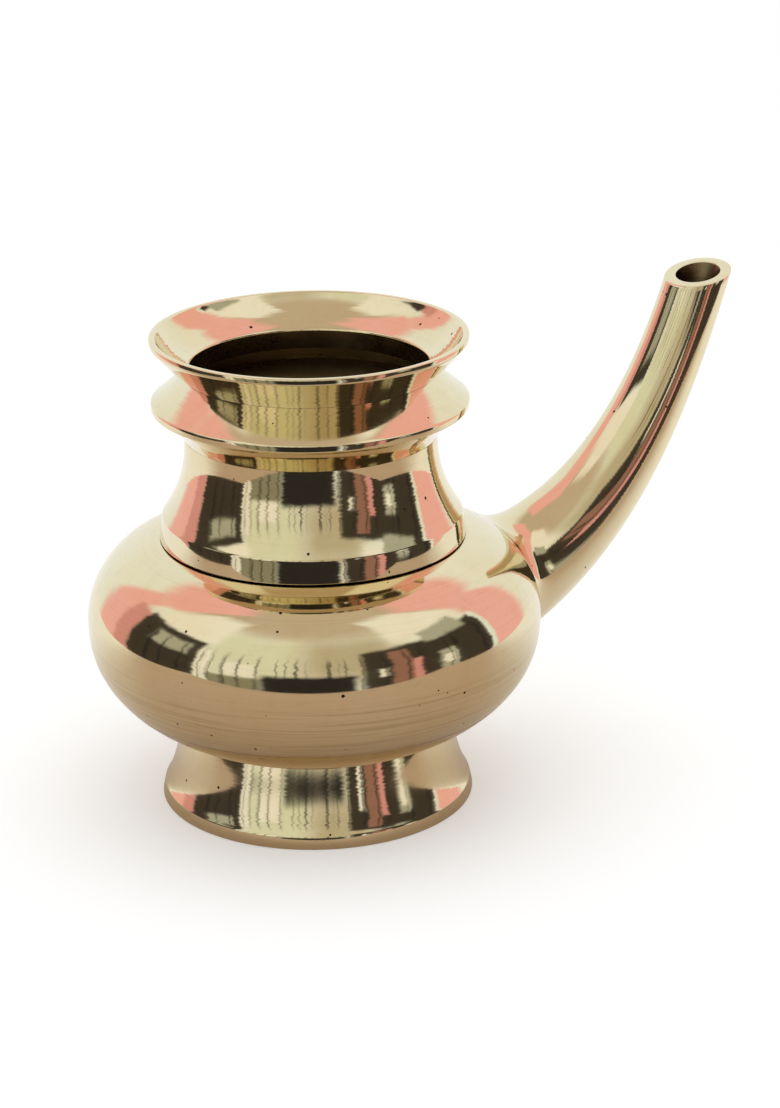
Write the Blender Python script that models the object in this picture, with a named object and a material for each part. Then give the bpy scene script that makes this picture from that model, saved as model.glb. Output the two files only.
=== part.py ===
"""Spouted brass water pot, built from cast pieces that lap into each other and are brazed.

Metres, +Z up. The pot stands on z = 0 and its spout points to +X. The origin lies under
the middle of the whole pot, so the axis of the turned vessel is at negative X.
"""
import math

import bmesh
import bpy
import numpy as np
from mathutils import Vector

MM = 0.001

# Clearances between pieces
JOINT_GAP = 0.3 * MM
FOOT_SEAT_GAP = 0.345 * MM
BRAZE_GAP = 0.45 * MM

# Fineness of the curves
SEGMENTS = 48
SPOUT_SIDES = 24
BOWL_STEPS = 10
BELLY_LOW_STEPS = 6
BELLY_HIGH_STEPS = 5
SWEEP_STEPS = 6
FLARE_STEPS = 5
NECK_STEPS = 7
FLANGE_STEPS = 4
RIM_STEPS = 4
LINING_STEPS = 3
SPOUT_STATIONS = 15
SEAT_RINGS = 3
MERGE_DISTANCE = 0.01 * MM
SHARP_ANGLE = math.radians(30)

# Foot ring
FOOT_RADIUS = 45.3 * MM
FOOT_BAND_HEIGHT = 3.6 * MM
FOOT_WAIST_RADIUS = 39.3 * MM
FOOT_FLARE_HEIGHT = 10.6 * MM
FOOT_FLARE_BULGE = -0.09
FOOT_WALL = 2.6 * MM
FOOT_BASE_WIDTH = 3.6 * MM

# Body: a lower bowl and an upper body that meet under the belly
BOWL_CLEARANCE = 15.8 * MM
BOWL_DEPTH = 38.4 * MM
BOWL_FULLNESS = 2.21
BELLY_RADIUS = 65.0 * MM
SHOULDER_CREST = 34.7 * MM
SHOULDER_FULLNESS = 2.16
SHOULDER_BREAK_INSET = 7.0 * MM
SHOULDER_RISE = 24.1 * MM
SHOULDER_SEAT_SLOPE = math.radians(15.5)
BODY_WALL = 2.4 * MM
SEAM_DROP = 21.0 * MM
SEAM_SKIRT = 1.4 * MM
SEAM_LIP = 1.2 * MM
SEAM_LAP = 3.0 * MM

# Neck, with the flat band that sits on the shoulder
NECK_BAND_RADIUS = 43.6 * MM
NECK_BAND_TOP_INSET = 0.85 * MM
NECK_BAND_HEIGHT = 7.2 * MM
NECK_SEAT_WIDTH = 3.0 * MM
NECK_SPIGOT_DROP = 6.5 * MM
NECK_WAIST_RADIUS = 35.9 * MM
NECK_HEIGHT = 23.2 * MM
NECK_BULGE = -0.175
THROAT_WALL = 2.4 * MM
LAP_SKIRT = 1.1 * MM
LAP_HEIGHT = 3.5 * MM

# Flange that stands out between neck and mouth
FLANGE_RADIUS = 44.8 * MM
FLANGE_UNDERSIDE_RISE = 8.3 * MM
FLANGE_UNDERSIDE_BULGE = -0.146
FLANGE_EDGE = 1.9 * MM
FLANGE_TOP_RISE = 7.9 * MM
FLANGE_TOP_BULGE = -0.04
FLANGE_EDGE_WALL = 3.8 * MM

# Mouth rim
RIM_RADIUS = 44.8 * MM
RIM_RISE = 9.2 * MM
RIM_BULGE = 0.05
RIM_EDGE = 1.6 * MM
RIM_EDGE_WIDTH = 1.7 * MM
RIM_EDGE_ROUND = 0.57 * MM
FUNNEL_DEPTH = 8.6 * MM

# Spout: centre line from a root inside the belly wall to a trimmed tip
SPOUT_ROOT_DROP = 2.1 * MM
SPOUT_ROOT_DEPTH = 3.9 * MM
SPOUT_ROOT_ELEVATION = math.radians(17.35)
SPOUT_ROOT_PULL = 43.8 * MM
SPOUT_RUN = 73.3 * MM
SPOUT_CLIMB = 91.75 * MM
SPOUT_TIP_LEAN = math.radians(18.0)
SPOUT_TIP_PULL = 40.5 * MM
SPOUT_ROOT_RADIUS = 17.8 * MM
SPOUT_TIP_RADIUS = 9.35 * MM
SPOUT_TAPER = 2.3
SPOUT_ROOT_BORE = 8.0 * MM
SPOUT_TIP_BORE = 6.15 * MM
SPOUT_TRIM = 8.1 * MM
TIP_CUT_RISE = math.radians(9.1)
TIP_CUT_LEAN = math.radians(6.5)
SPIGOT_WALL = 1.5 * MM
SPIGOT_REACH = 3.0 * MM

# Values on the spout's curve between which its root and its tip are found
ROOT_SEARCH = (-0.25, 0.3)
TIP_SEARCH = (0.7, 1.2)

# Braze fillets on the inner side of the seams
BRAZE_WIDTH = 3.0 * MM
BRAZE_HEIGHT = 1.0 * MM
BRAZE_LEG = 2.2 * MM

# Heights that follow from the sizes above
BELLY_HEIGHT = BOWL_CLEARANCE + BOWL_DEPTH
SEAM_HEIGHT = BELLY_HEIGHT - SEAM_DROP
SEAT_HEIGHT = BELLY_HEIGHT + SHOULDER_RISE
NECK_FOOT_HEIGHT = SEAT_HEIGHT + NECK_BAND_HEIGHT
NECK_TOP_HEIGHT = NECK_FOOT_HEIGHT + NECK_HEIGHT
FLANGE_LOW_HEIGHT = NECK_TOP_HEIGHT + FLANGE_UNDERSIDE_RISE
FLANGE_HIGH_HEIGHT = FLANGE_LOW_HEIGHT + FLANGE_EDGE
RIM_FOOT_HEIGHT = FLANGE_HIGH_HEIGHT + FLANGE_TOP_RISE
RIM_EDGE_HEIGHT = RIM_FOOT_HEIGHT + RIM_RISE
RIM_TOP_HEIGHT = RIM_EDGE_HEIGHT + RIM_EDGE
NECK_SPIGOT_RADIUS = NECK_BAND_RADIUS - NECK_SEAT_WIDTH
THROAT_RADIUS = NECK_WAIST_RADIUS - THROAT_WALL
LAP_RADIUS = NECK_WAIST_RADIUS - LAP_SKIRT
SPIGOT_RADIUS = SPOUT_ROOT_BORE + SPIGOT_WALL
ROOT_LINE_REACH = 2 * SPOUT_ROOT_RADIUS


# Plane curves, each a list of (radius, height) points

def bowed(start, end, bulge, steps):
    """Points from start to end on an arc-like curve, bowed sideways by bulge times its chord."""
    start = np.array(start)
    end = np.array(end)
    run = end - start
    pull = (start + end) / 2 + bulge * np.array((run[1], -run[0]))
    points = []
    for step in range(steps + 1):
        t = step / steps
        points.append(tuple((1 - t) ** 2 * start + 2 * t * (1 - t) * pull + t * t * end))
    return points


def ellipse_radius(rise, half_height, fullness):
    """Radius of the belly at a height above or below its widest line."""
    share = min(abs(rise) / half_height, 1.0)
    return BELLY_RADIUS * (1 - share ** fullness) ** (1 / fullness)


def ellipse_rise(radius, half_height, fullness):
    """Height above or below the widest line at which the belly has this radius."""
    return half_height * (1 - (radius / BELLY_RADIUS) ** fullness) ** (1 / fullness)


def shoulder_slope(radius):
    """Direction of the upper belly outline at this radius, going up and inward."""
    step = 0.05 * MM
    climb = ellipse_rise(radius - step, SHOULDER_CREST, SHOULDER_FULLNESS)
    climb -= ellipse_rise(radius + step, SHOULDER_CREST, SHOULDER_FULLNESS)
    direction = np.array((-2 * step, climb))
    return direction / np.linalg.norm(direction)


def shoulder_sweep():
    """The flatter part of the shoulder, from the end of the round belly to the neck seat."""
    radius = BELLY_RADIUS - SHOULDER_BREAK_INSET
    rise = ellipse_rise(radius, SHOULDER_CREST, SHOULDER_FULLNESS)
    start = np.array((radius, BELLY_HEIGHT + rise))
    end = np.array((NECK_BAND_RADIUS, SEAT_HEIGHT))
    pull = np.linalg.norm(end - start) / 3
    first = start + pull * shoulder_slope(radius)
    arrival = np.array((-math.cos(SHOULDER_SEAT_SLOPE), math.sin(SHOULDER_SEAT_SLOPE)))
    second = end - pull * arrival
    return [tuple(cubic(start, first, second, end, t)) for t in np.linspace(0.0, 1.0, SWEEP_STEPS + 1)]


def cubic(start, first, second, end, t):
    """Point on a cubic curve given by its two ends and two handles."""
    u = 1 - t
    return u ** 3 * start + 3 * u * u * t * first + 3 * u * t * t * second + t ** 3 * end


def bowl_outline():
    """Outside of the lower bowl, from its middle to the seam."""
    turn_end = math.acos(ellipse_radius(SEAM_DROP, BOWL_DEPTH, BOWL_FULLNESS) / BELLY_RADIUS)
    turn_end = math.acos(math.cos(turn_end) ** (BOWL_FULLNESS / 2))
    points = []
    for step in range(BOWL_STEPS + 1):
        turn = math.pi / 2 + (turn_end - math.pi / 2) * step / BOWL_STEPS
        radius = BELLY_RADIUS * max(math.cos(turn), 0.0) ** (2 / BOWL_FULLNESS)
        drop = BOWL_DEPTH * math.sin(turn) ** (2 / BOWL_FULLNESS)
        points.append((radius if step else 0.0, BELLY_HEIGHT - drop))
    return points


def upper_outline():
    """Outside of the upper body, from the seam over the belly and shoulder to the neck seat."""
    points = []
    for step in range(BELLY_LOW_STEPS):
        drop = SEAM_DROP * (1 - step / BELLY_LOW_STEPS)
        points.append((ellipse_radius(drop, BOWL_DEPTH, BOWL_FULLNESS), BELLY_HEIGHT - drop))
    break_rise = ellipse_rise(BELLY_RADIUS - SHOULDER_BREAK_INSET, SHOULDER_CREST, SHOULDER_FULLNESS)
    for step in range(BELLY_HIGH_STEPS):
        rise = break_rise * step / BELLY_HIGH_STEPS
        points.append((ellipse_radius(rise, SHOULDER_CREST, SHOULDER_FULLNESS), BELLY_HEIGHT + rise))
    return points + shoulder_sweep()


def inset(points, wall):
    """The same curve moved inward by a wall, for curves that run upward on the outer side."""
    path = np.array(points)
    run = np.gradient(path, axis=0)
    run /= np.linalg.norm(run, axis=1)[:, None]
    inner = path + wall * np.column_stack((-run[:, 1], run[:, 0]))
    return [tuple(point) for point in inner]


def stand_off(outline, radius, height):
    """Signed distance of a point from an outline that runs upward, positive outside it."""
    path = np.array(outline)
    start = path[:-1]
    run = path[1:] - start
    to_point = np.array((radius, height)) - start
    share = np.clip((to_point * run).sum(axis=1) / (run * run).sum(axis=1), 0.0, 1.0)
    miss = to_point - share[:, None] * run
    distance = np.linalg.norm(miss, axis=1)
    near = int(distance.argmin())
    side = to_point[near][0] * run[near][1] - to_point[near][1] * run[near][0]
    return math.copysign(distance[near], side)


def solve(function, low, high):
    """Where a rising function crosses zero, found by halving."""
    for _ in range(50):
        middle = (low + high) / 2
        if function(middle) < 0:
            low = middle
        else:
            high = middle
    return (low + high) / 2


BODY_OUTLINE = bowl_outline()[:-1] + upper_outline()
BODY_LINING = inset(BODY_OUTLINE, BODY_WALL)


# Spout curves: x is measured from the vessel axis

def radius_at(outline, height):
    """Radius of a rising outline at a height."""
    path = np.array(outline)
    return float(np.interp(height, path[:, 1], path[:, 0]))


ROOT_HEIGHT = BELLY_HEIGHT - SPOUT_ROOT_DROP
SPOUT_ROOT = np.array((radius_at(BODY_OUTLINE, ROOT_HEIGHT) - SPOUT_ROOT_DEPTH, ROOT_HEIGHT))
SPOUT_END = SPOUT_ROOT + np.array((SPOUT_RUN, SPOUT_CLIMB))
SPOUT_FIRST = SPOUT_ROOT + SPOUT_ROOT_PULL * np.array(
    (math.cos(SPOUT_ROOT_ELEVATION), math.sin(SPOUT_ROOT_ELEVATION)))
SPOUT_SECOND = SPOUT_END - SPOUT_TIP_PULL * np.array((math.sin(SPOUT_TIP_LEAN), math.cos(SPOUT_TIP_LEAN)))


def spout_centre(t):
    """Point (x, z) on the spout's centre line."""
    return cubic(SPOUT_ROOT, SPOUT_FIRST, SPOUT_SECOND, SPOUT_END, t)


def spout_along(t):
    """Direction (x, z) of the spout's centre line."""
    step = 0.001
    run = spout_centre(t + step) - spout_centre(t - step)
    return run / np.linalg.norm(run)


def spout_lengths():
    """Curve values from root to end, and the length of the centre line up to each."""
    values = np.linspace(0.0, 1.0, 201)
    places = np.array([spout_centre(t) for t in values])
    lengths = np.concatenate(([0.0], np.cumsum(np.linalg.norm(np.diff(places, axis=0), axis=1))))
    return values, lengths


SPOUT_VALUES, SPOUT_LENGTHS = spout_lengths()


def spout_value(length):
    """Curve value at a length along the centre line."""
    return float(np.interp(length, SPOUT_LENGTHS, SPOUT_VALUES))


TIP_VALUE = spout_value(SPOUT_LENGTHS[-1] - SPOUT_TRIM)


def spout_radius(t):
    """Outer radius of the spout, which narrows fast from its root and then slowly."""
    remaining = 1 - min(max(t, 0.0), 1.0)
    return SPOUT_TIP_RADIUS + (SPOUT_ROOT_RADIUS - SPOUT_TIP_RADIUS) * remaining ** SPOUT_TAPER


def bore_radius(t):
    """Radius of the bore, which narrows from the root to the tip."""
    return SPOUT_ROOT_BORE + (SPOUT_TIP_BORE - SPOUT_ROOT_BORE) * t / TIP_VALUE


def around_spout(t, angle, radius):
    """Point beside the centre line; angle 0 is the upper side."""
    centre = spout_centre(t)
    along = spout_along(t)
    up = radius * math.cos(angle)
    return Vector((centre[0] - up * along[1], radius * math.sin(angle), centre[1] + up * along[0]))


def around_root(length, angle, radius):
    """Point beside the straight line that carries the spigot into the belly."""
    along = spout_along(0.0)
    centre = SPOUT_ROOT + length * along
    up = radius * math.cos(angle)
    return Vector((centre[0] - up * along[1], radius * math.sin(angle), centre[1] + up * along[0]))


def off_body(point, outline):
    """Distance of a point in space from a turned outline."""
    return stand_off(outline, math.hypot(point.x, point.y), point.z)


def root_value(angle, gap):
    """Curve value where the spout's outside comes down to a gap above the body."""
    def above_body(t):
        return off_body(around_spout(t, angle, spout_radius(t)), BODY_OUTLINE) - gap

    return solve(above_body, *ROOT_SEARCH)


def root_length(angle, radius, outline, gap):
    """Length along the root line where a cylinder about it stands a gap off a turned outline."""
    def above_outline(length):
        return off_body(around_root(length, angle, radius), outline) - gap

    return solve(above_outline, -ROOT_LINE_REACH, ROOT_LINE_REACH)


def tip_value(angle, radius_function):
    """Curve value where a line along the spout meets the slanted cut of the tip."""
    middle = spout_centre(TIP_VALUE)

    def above_cut(t):
        point = around_spout(t, angle, radius_function(t))
        rise = (point.x - middle[0]) * math.tan(TIP_CUT_RISE) + point.y * math.tan(TIP_CUT_LEAN)
        return point.z - middle[1] - rise

    return solve(above_cut, *TIP_SEARCH)


def side_angles():
    """Angles of the lines that run along the spout."""
    return [2 * math.pi * side / SPOUT_SIDES for side in range(SPOUT_SIDES)]


def tip_ring(radius_function):
    """Edge of the tip, on the slanted cut."""
    ring = []
    for angle in side_angles():
        t = tip_value(angle, radius_function)
        ring.append(around_spout(t, angle, radius_function(t)))
    return ring


# The whole pot is centred on the origin, between the far side of the belly and the spout's tip
SPOUT_REACH = max(point.x for point in tip_ring(spout_radius))
AXIS_X = (BELLY_RADIUS - SPOUT_REACH) / 2


# Blender objects

def clear_scene():
    """Remove what the scene starts with."""
    for old in list(bpy.data.objects):
        bpy.data.objects.remove(old, do_unlink=True)


def metal(name, colour, roughness):
    """A metal with its own colour and polish."""
    material = bpy.data.materials.new(name)
    material.use_nodes = True
    shader = material.node_tree.nodes["Principled BSDF"]
    shader.inputs["Base Color"].default_value = (*colour, 1.0)
    shader.inputs["Metallic"].default_value = 1.0
    shader.inputs["Roughness"].default_value = roughness
    return material


def add_object(name, mesh_builder, material, parent):
    """Make a named object from a bmesh, shaded smooth with sharp edges kept."""
    bmesh.ops.remove_doubles(mesh_builder, verts=mesh_builder.verts, dist=MERGE_DISTANCE)
    bmesh.ops.recalc_face_normals(mesh_builder, faces=mesh_builder.faces)
    mesh = bpy.data.meshes.new(name)
    mesh_builder.to_mesh(mesh)
    mesh_builder.free()
    mesh.shade_smooth()
    mesh.set_sharp_from_angle(angle=SHARP_ANGLE)
    mesh.materials.append(material)
    made = bpy.data.objects.new(name, mesh)
    made.parent = parent
    bpy.context.scene.collection.objects.link(made)
    return made


def turned(name, section, material, parent, closed=True):
    """Turn a section of (radius, height) points about the vessel axis."""
    builder = bmesh.new()
    corners = [builder.verts.new((radius, 0.0, height)) for radius, height in section]
    edges = [builder.edges.new(pair) for pair in zip(corners, corners[1:])]
    if closed:
        edges.append(builder.edges.new((corners[-1], corners[0])))
    bmesh.ops.spin(
        builder, geom=corners + edges, cent=(0, 0, 0), axis=(0, 0, 1),
        angle=2 * math.pi, steps=SEGMENTS, use_merge=True)
    return add_object(name, builder, material, parent)


def lofted(name, rings, material, parent, hollow=True):
    """Join rings of points into a skin, closed on itself or capped at both ends."""
    builder = bmesh.new()
    loops = [[builder.verts.new(point) for point in ring] for ring in rings]
    pairs = list(zip(loops, loops[1:]))
    if hollow:
        pairs.append((loops[-1], loops[0]))
    else:
        builder.faces.new(loops[0])
        builder.faces.new(loops[-1])
    count = len(rings[0])
    for low, high in pairs:
        for side in range(count):
            following = (side + 1) % count
            builder.faces.new((low[side], low[following], high[following], high[side]))
    return add_object(name, builder, material, parent)


def cut(piece, cutter):
    """Take the cutter's shape out of a piece, and keep the cutter as a hidden guide."""
    cutter.hide_render = True
    cutter.display_type = "WIRE"
    boolean = piece.modifiers.new("cut_" + cutter.name, "BOOLEAN")
    boolean.operation = "DIFFERENCE"
    boolean.solver = "EXACT"
    boolean.object = cutter


# Pieces

def make_foot_ring(material, parent):
    """The flared ring that the pot stands on; its top follows the underside of the bowl."""
    band = (FOOT_RADIUS, FOOT_BAND_HEIGHT)
    waist = (FOOT_WAIST_RADIUS, FOOT_BAND_HEIGHT + FOOT_FLARE_HEIGHT)
    flare = bowed(band, waist, FOOT_FLARE_BULGE, FLARE_STEPS)
    inner_radius = FOOT_WAIST_RADIUS - FOOT_WALL
    seat = []
    for share in (0.0, 0.5, 1.0):
        radius = FOOT_WAIST_RADIUS - FOOT_WALL * share
        seat.append((radius, bowl_height(radius) - FOOT_SEAT_GAP))
    base_inner = FOOT_RADIUS - FOOT_BASE_WIDTH
    lining = bowed(
        (inner_radius, waist[1]), (base_inner, FOOT_BAND_HEIGHT), -FOOT_FLARE_BULGE, LINING_STEPS)
    section = [(base_inner, 0.0), (FOOT_RADIUS, 0.0)] + flare + seat + lining
    return turned("foot_ring", section, material, parent)


def bowl_height(radius):
    """Height of the bowl's underside at a radius."""
    return BELLY_HEIGHT - ellipse_rise(radius, BOWL_DEPTH, BOWL_FULLNESS)


def make_lower_bowl(material, parent):
    """Round bottom of the body, with a thin upstanding lip that enters the upper body."""
    outside = bowl_outline()
    lining = inset(outside, BODY_WALL)
    lining[0] = (0.0, lining[0][1])
    skirt_radius = outside[-1][0] - SEAM_SKIRT - JOINT_GAP
    lip_top = SEAM_HEIGHT + SEAM_LAP
    lip_inner = skirt_radius - SEAM_LIP
    radii, heights = np.array(lining).T
    lip = [
        (skirt_radius, SEAM_HEIGHT), (skirt_radius, lip_top), (lip_inner, lip_top),
        (lip_inner, float(np.interp(lip_inner, radii, heights)))]
    lining = [point for point in lining if point[0] < lip_inner]
    section = outside + lip + lining[::-1]
    return turned("lower_bowl", section, material, parent, closed=False)


def make_upper_body(material, parent):
    """Belly and shoulder shell, open at the neck seat and pierced for the spout."""
    outside = upper_outline()
    outside[0] = (outside[0][0], SEAM_HEIGHT + JOINT_GAP)
    lap_top = SEAM_HEIGHT + SEAM_LAP + JOINT_GAP
    skirt_radius = outside[0][0] - SEAM_SKIRT
    bore = NECK_SPIGOT_RADIUS + JOINT_GAP
    lining = [point for point in BODY_LINING if point[1] > lap_top and point[0] > bore]
    seat = [(bore, SEAT_HEIGHT), (bore, lining[-1][1])]
    lap = [(radius_at(BODY_LINING, lap_top), lap_top), (skirt_radius, lap_top)]
    skirt = [(skirt_radius, SEAM_HEIGHT + JOINT_GAP)]
    body = turned("upper_body", outside + seat + lining[::-1] + lap + skirt, material, parent)
    drill_radius = SPIGOT_RADIUS + JOINT_GAP
    drill = lofted(
        "spout_hole_guide",
        [[around_root(length, angle, drill_radius) for angle in side_angles()]
         for length in (-ROOT_LINE_REACH, ROOT_LINE_REACH)],
        material, parent, hollow=False)
    cut(body, drill)
    return body


def make_neck(material, parent):
    """Waisted neck with a flat band on the shoulder, a spigot below it and a lap above."""
    band_top = (NECK_BAND_RADIUS - NECK_BAND_TOP_INSET, NECK_FOOT_HEIGHT)
    outside = bowed(band_top, (NECK_WAIST_RADIUS, NECK_TOP_HEIGHT), NECK_BULGE, NECK_STEPS)
    lining = inset(outside, THROAT_WALL)
    lining[-1] = (THROAT_RADIUS, NECK_TOP_HEIGHT)
    spigot_inner = NECK_SPIGOT_RADIUS - THROAT_WALL
    lining[0] = (spigot_inner, NECK_FOOT_HEIGHT)
    lap_top = NECK_TOP_HEIGHT + LAP_HEIGHT
    lap_outer = LAP_RADIUS - JOINT_GAP
    seat = SEAT_HEIGHT + JOINT_GAP
    spigot_foot = SEAT_HEIGHT - NECK_SPIGOT_DROP
    section = [
        (spigot_inner, spigot_foot), (NECK_SPIGOT_RADIUS, spigot_foot),
        (NECK_SPIGOT_RADIUS, seat), (NECK_BAND_RADIUS, seat)]
    section += outside
    section += [(lap_outer, NECK_TOP_HEIGHT), (lap_outer, lap_top), (THROAT_RADIUS, lap_top)]
    section += lining[::-1]
    return turned("neck", section, material, parent)


def make_collar_flange(material, parent):
    """Hollow flange ring between the neck and the mouth rim."""
    foot = NECK_TOP_HEIGHT + JOINT_GAP
    underside = bowed(
        (NECK_WAIST_RADIUS, foot), (FLANGE_RADIUS, FLANGE_LOW_HEIGHT),
        FLANGE_UNDERSIDE_BULGE, FLANGE_STEPS)
    top = bowed(
        (FLANGE_RADIUS, FLANGE_HIGH_HEIGHT), (NECK_WAIST_RADIUS, RIM_FOOT_HEIGHT),
        FLANGE_TOP_BULGE, FLANGE_STEPS)
    hollow = [
        (LAP_RADIUS, RIM_FOOT_HEIGHT), (LAP_RADIUS, RIM_FOOT_HEIGHT - LAP_HEIGHT - JOINT_GAP),
        (FLANGE_RADIUS - FLANGE_EDGE_WALL, (FLANGE_LOW_HEIGHT + FLANGE_HIGH_HEIGHT) / 2),
        (LAP_RADIUS, foot + LAP_HEIGHT), (LAP_RADIUS, foot)]
    return turned("collar_flange", underside + top + hollow, material, parent)


def make_mouth_rim(material, parent):
    """Flared mouth with a funnel inside and a lap that enters the flange."""
    foot = RIM_FOOT_HEIGHT + JOINT_GAP
    lap_foot = RIM_FOOT_HEIGHT - LAP_HEIGHT
    lap_outer = LAP_RADIUS - JOINT_GAP
    outside = bowed((NECK_WAIST_RADIUS, foot), (RIM_RADIUS, RIM_EDGE_HEIGHT), RIM_BULGE, RIM_STEPS)
    crown = [
        (RIM_RADIUS - RIM_EDGE_ROUND, RIM_TOP_HEIGHT), (RIM_RADIUS - RIM_EDGE_WIDTH, RIM_TOP_HEIGHT)]
    throat_top = RIM_TOP_HEIGHT - FUNNEL_DEPTH
    funnel = bowed(crown[-1], (THROAT_RADIUS, throat_top), RIM_BULGE, LINING_STEPS)[1:]
    section = [(THROAT_RADIUS, lap_foot), (lap_outer, lap_foot), (lap_outer, foot)]
    return turned("mouth_rim", section + outside + crown + funnel, material, parent)


def make_spout(material, parent):
    """Tapered horn with a spigot that enters the body, and a slanted tip."""
    angles = side_angles()
    first = max(root_value(angle, JOINT_GAP) for angle in angles)
    last = min(tip_value(angle, spout_radius) for angle in angles)
    stations = np.linspace(first, last, SPOUT_STATIONS + 2)[1:-1]
    inner_end = [root_length(angle, SPIGOT_RADIUS, BODY_LINING, -SPIGOT_REACH) for angle in angles]
    rings = []
    rings.append([around_root(inner_end[k], angle, SPIGOT_RADIUS) for k, angle in enumerate(angles)])
    for seat_ring in range(SEAT_RINGS):
        radius = SPIGOT_RADIUS + (SPOUT_ROOT_RADIUS - SPIGOT_RADIUS) * seat_ring / SEAT_RINGS
        foot = [root_length(angle, radius, BODY_OUTLINE, JOINT_GAP) for angle in angles]
        rings.append([around_root(length, angle, radius) for length, angle in zip(foot, angles)])
    roots = [root_value(angle, JOINT_GAP) for angle in angles]
    rings.append([around_spout(t, angle, spout_radius(t)) for t, angle in zip(roots, angles)])
    for t in stations:
        rings.append([around_spout(t, angle, spout_radius(t)) for angle in angles])
    rings.append(tip_ring(spout_radius))
    rings.append(tip_ring(bore_radius))
    for t in stations[::-2]:
        rings.append([around_spout(t, angle, bore_radius(t)) for angle in angles])
    rings.append([around_root(inner_end[k], angle, SPOUT_ROOT_BORE) for k, angle in enumerate(angles)])
    return lofted("spout", rings, material, parent)


def make_belly_braze(material, parent):
    """Low bead of filler over the body seam, on the inside."""
    middle = SEAM_HEIGHT + SEAM_LAP
    half = BRAZE_WIDTH / 2
    lip_inner = radius_at(BODY_OUTLINE, SEAM_HEIGHT) - SEAM_SKIRT - JOINT_GAP - SEAM_LIP
    radius = lip_inner - JOINT_GAP
    section = []
    for share in (-1.0, -0.5, 0.0, 0.5, 1.0):
        section.append((radius - BRAZE_HEIGHT * (1 - share * share), middle + half * share))
    return turned("belly_seam_braze", section, material, parent)


def make_neck_braze(material, parent):
    """Fillet of filler in the corner between the neck's spigot and the underside of the shoulder."""
    radius = NECK_SPIGOT_RADIUS + JOINT_GAP
    outer = radius + BRAZE_LEG
    height = lining_height(outer) - JOINT_GAP
    section = [(radius, height), (radius, height - BRAZE_LEG), (outer, height)]
    return turned("neck_seam_braze", section, material, parent)


def lining_height(radius):
    """Height of the shoulder's inner side at a radius."""
    path = np.array([point for point in BODY_LINING if point[1] > BELLY_HEIGHT])[::-1]
    return float(np.interp(radius, path[:, 0], path[:, 1]))


def make_foot_braze(material, parent):
    """Fillet of filler under the bowl, in the corner inside the foot ring."""
    radius = FOOT_WAIST_RADIUS - FOOT_WALL - JOINT_GAP
    inner = radius - BRAZE_LEG
    section = [
        (inner, bowl_height(inner) - BRAZE_GAP), (radius, bowl_height(inner) - BRAZE_GAP - BRAZE_LEG),
        (radius, bowl_height(radius) - BRAZE_GAP)]
    return turned("foot_seam_braze", section, material, parent)


def make_spout_braze(material, parent):
    """Fillet of filler round the spout's spigot, on the inside of the body."""
    near = SPIGOT_RADIUS + JOINT_GAP
    far = near + BRAZE_LEG
    rings = [[], [], []]
    for angle in side_angles():
        corner = root_length(angle, near, BODY_LINING, -BRAZE_GAP)
        edge = root_length(angle, far, BODY_LINING, -BRAZE_GAP)
        rings[0].append(around_root(corner, angle, near))
        rings[1].append(around_root(edge, angle, far))
        rings[2].append(around_root(corner - BRAZE_LEG, angle, near))
    return lofted("spout_seam_braze", rings, material, parent)


def main():
    clear_scene()
    axis = bpy.data.objects.new("vessel_axis", None)
    axis.location = (AXIS_X, 0.0, 0.0)
    bpy.context.scene.collection.objects.link(axis)

    make_foot_ring(metal("foot_brass", (0.74, 0.58, 0.32), 0.14), axis)
    make_lower_bowl(metal("bowl_brass", (0.70, 0.54, 0.30), 0.26), axis)
    make_upper_body(metal("body_brass", (0.76, 0.60, 0.34), 0.12), axis)
    make_neck(metal("neck_brass", (0.76, 0.61, 0.34), 0.10), axis)
    make_collar_flange(metal("flange_brass", (0.77, 0.62, 0.35), 0.10), axis)
    make_mouth_rim(metal("rim_brass", (0.78, 0.64, 0.37), 0.12), axis)
    make_spout(metal("spout_brass", (0.76, 0.60, 0.33), 0.13), axis)
    make_belly_braze(metal("belly_filler", (0.66, 0.50, 0.24), 0.40), axis)
    make_neck_braze(metal("neck_filler", (0.66, 0.50, 0.24), 0.42), axis)
    make_foot_braze(metal("foot_filler", (0.64, 0.48, 0.24), 0.45), axis)
    make_spout_braze(metal("spout_filler", (0.66, 0.49, 0.24), 0.42), axis)


main()
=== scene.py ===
"""Looks of the spouted brass water pot: fine meshes, metal finishes, stage, light and camera.

Metres, +Z up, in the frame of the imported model. All turned pieces share one upright axis.
"""
import math

import bmesh
import bpy
import numpy as np
from mathutils import Matrix, Vector


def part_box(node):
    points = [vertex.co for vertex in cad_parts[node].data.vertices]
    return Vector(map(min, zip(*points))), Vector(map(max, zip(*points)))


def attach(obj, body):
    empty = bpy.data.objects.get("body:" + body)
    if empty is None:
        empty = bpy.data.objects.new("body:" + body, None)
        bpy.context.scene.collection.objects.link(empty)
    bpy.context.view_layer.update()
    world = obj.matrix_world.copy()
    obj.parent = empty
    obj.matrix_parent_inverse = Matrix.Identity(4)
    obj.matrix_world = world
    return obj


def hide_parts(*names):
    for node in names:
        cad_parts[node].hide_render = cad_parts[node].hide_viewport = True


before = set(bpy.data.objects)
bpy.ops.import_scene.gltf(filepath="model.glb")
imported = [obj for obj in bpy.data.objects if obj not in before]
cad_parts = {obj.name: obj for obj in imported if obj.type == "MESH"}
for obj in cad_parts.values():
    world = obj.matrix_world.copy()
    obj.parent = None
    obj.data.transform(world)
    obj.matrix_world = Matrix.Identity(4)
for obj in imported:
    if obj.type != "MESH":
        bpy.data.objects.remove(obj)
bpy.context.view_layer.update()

MM = 0.001

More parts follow.
